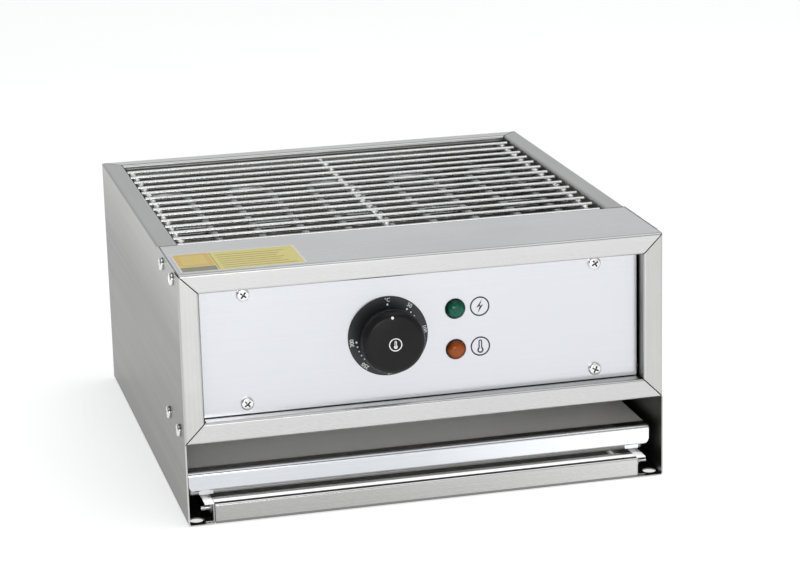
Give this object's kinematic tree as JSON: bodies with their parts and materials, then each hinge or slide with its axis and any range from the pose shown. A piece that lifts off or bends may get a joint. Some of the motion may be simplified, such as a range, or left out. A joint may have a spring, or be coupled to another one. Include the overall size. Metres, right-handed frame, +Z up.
{
  "type": "electric fish roaster",
  "caption": "Countertop electric roaster for fish: folded steel body with a rod grate over U-shaped heating tubes, a front control panel with dial and lamps, and a drip tray that slides out.",
  "frame": {"origin": "centre of the four base holes, at the underside of the base flanges", "axes": "+Z up, -Y out of the front with the dial and the tray, +X to the right seen from the front"},
  "size_m": [0.3862, 0.427, 0.1982],
  "materials": {
    "steel_sheet": "brushed",
    "steel_panel": "satin with a clear film",
    "steel_dull": "dull",
    "steel_tray": "satin",
    "steel_bright": "polished",
    "steel_rod": "drawn and polished",
    "element_tube": "matt",
    "copper": "plain",
    "brass": "plain",
    "ceramic": "matt",
    "black_plastic": "satin",
    "knob_black": "satin",
    "inner_plastic": "matt",
    "lens_green": "gloss",
    "lens_amber": "gloss",
    "label_film": "printed film"
  },
  "bodies": {
    "body": {"left_side_panel": "steel_sheet", "right_side_panel": "steel_sheet", "back_panel": "steel_sheet", "control_box_top": "steel_sheet", "control_box_bottom": "steel_sheet", "control_box_rear_wall": "steel_dull", "control_panel": "steel_panel", "panel_gasket": "inner_plastic", "control_panel_screws": "steel_bright", "left_side_screws": "steel_bright", "right_side_screws": "steel_bright", "back_panel_screws": "steel_bright", "dial_bezel": "black_plastic", "thermostat_screws": "steel_bright", "thermostat_body": "inner_plastic", "thermostat_capillary": "copper", "thermostat_bulb": "copper", "bulb_clip": "steel_dull", "green_lamp_body": "inner_plastic", "green_lamp_nut": "inner_plastic", "green_lamp_lens": "lens_green", "amber_lamp_body": "inner_plastic", "amber_lamp_nut": "inner_plastic", "amber_lamp_lens": "lens_amber", "heating_element_1": "element_tube", "heating_element_2": "element_tube", "heating_element_3": "element_tube", "heating_element_4": "element_tube", "heating_element_5": "element_tube", "element_bushings": "brass", "element_bushing_nuts": "brass", "element_insulators": "ceramic", "element_ties": "steel_bright", "live_bus_bar": "brass", "neutral_bus_bar": "brass", "terminal_nuts": "brass", "terminal_block": "ceramic", "terminal_block_screws": "brass", "earth_stud": "brass", "cable_gland": "black_plastic", "gland_locknut": "black_plastic", "left_liner": "steel_dull", "right_liner": "steel_dull", "back_liner": "steel_dull", "front_grate_support": "steel_dull", "rear_grate_support": "steel_dull", "left_tray_runner": "steel_dull", "right_tray_runner": "steel_dull", "front_rail": "steel_sheet", "rear_rail": "steel_dull", "rail_screws": "steel_bright", "rail_nuts": "steel_bright", "blank_label": "label_film"},
    "tray": {"tray_pan": "steel_dull", "tray_front": "steel_tray"},
    "grate": {"grate_rods": "steel_rod", "grate_cross_rods": "steel_rod"},
    "knob": {"knob": "knob_black", "thermostat_shaft": "steel_bright"}
  },
  "joints": [
    {"name": "tray_slide", "type": "slide", "parent": "body", "child": "tray", "axis": [0, -1, 0], "range_m": [0, 0.3]},
    {"name": "grate_lift", "type": "slide", "parent": "body", "child": "grate", "axis": [0, 0, 1], "range_m": [0, 0.12]},
    {"name": "knob_turn", "type": "hinge", "parent": "body", "child": "knob", "pos_m": [-0.0279, -0.2, 0.1328], "axis": [0, 1, 0], "range_deg": [0, 270]}
  ]
}
